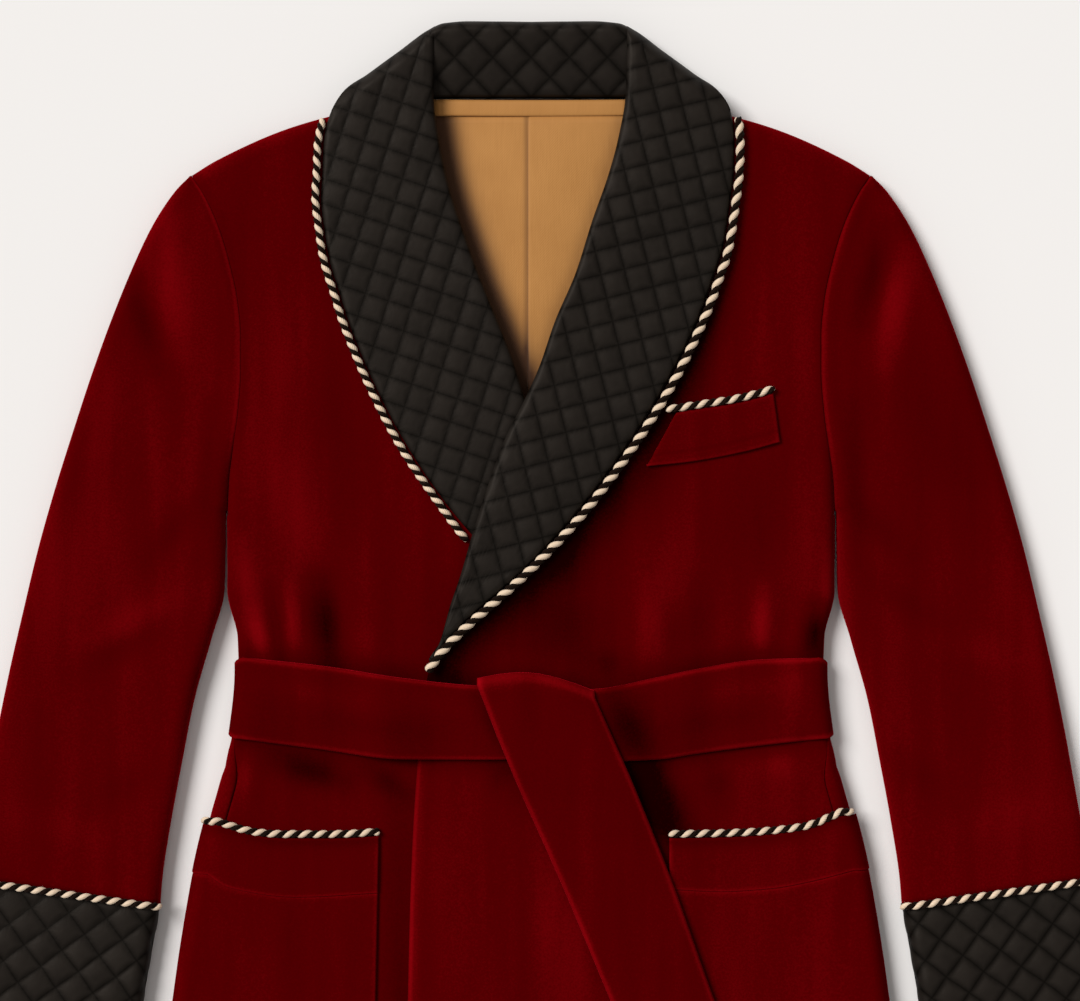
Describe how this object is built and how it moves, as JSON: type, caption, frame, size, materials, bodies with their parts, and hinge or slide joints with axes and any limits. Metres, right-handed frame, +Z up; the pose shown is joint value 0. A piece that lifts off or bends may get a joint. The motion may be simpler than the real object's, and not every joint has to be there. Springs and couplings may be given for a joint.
{
  "type": "smoking jacket",
  "caption": "Men's velvet smoking jacket laid flat and tied, with quilted shawl collar, turned-back cuffs, corded pockets and a tie belt.",
  "frame": {"origin": "centre of the box round the jacket, on the surface that it lies on", "axes": "+Z up from the surface through the fronts, +Y from the hem towards the collar, +X towards the wearer's left sleeve"},
  "size_m": [0.8412, 0.8542, 0.0331],
  "materials": {
    "velvet": "deep red cotton velvet, short pile with a soft sheen",
    "satin": "black quilted satin",
    "lining": "tan twill lining",
    "cord": "two-strand twisted cord, cream and black"
  },
  "bodies": {
    "root": {"back": "velvet", "belt_back": "velvet", "belt_left": "velvet", "belt_right": "velvet", "belt_tail_over": "velvet", "belt_tail_under": "velvet", "breast_welt": "velvet", "collar_fall": "satin", "collar_left": "satin", "collar_right": "satin", "collar_stand": "satin", "cord_breast_pocket": "cord", "cord_collar_left": "cord", "cord_collar_right": "cord", "cord_cuff_left": "cord", "cord_cuff_right": "cord", "cord_pocket_left": "cord", "cord_pocket_right": "cord", "cuff_left_top": "satin", "cuff_left_under": "satin", "cuff_right_top": "satin", "cuff_right_under": "satin", "front_left": "velvet", "front_right": "velvet", "lining_left": "lining", "lining_neck_strip": "lining", "lining_right": "lining", "pocket_band_left": "velvet", "pocket_band_right": "velvet", "pocket_left": "velvet", "pocket_right": "velvet", "side_left": "velvet", "side_right": "velvet", "sleeve_left_top": "velvet", "sleeve_left_under": "velvet", "sleeve_right_top": "velvet", "sleeve_right_under": "velvet"}
  },
  "joints": []
}
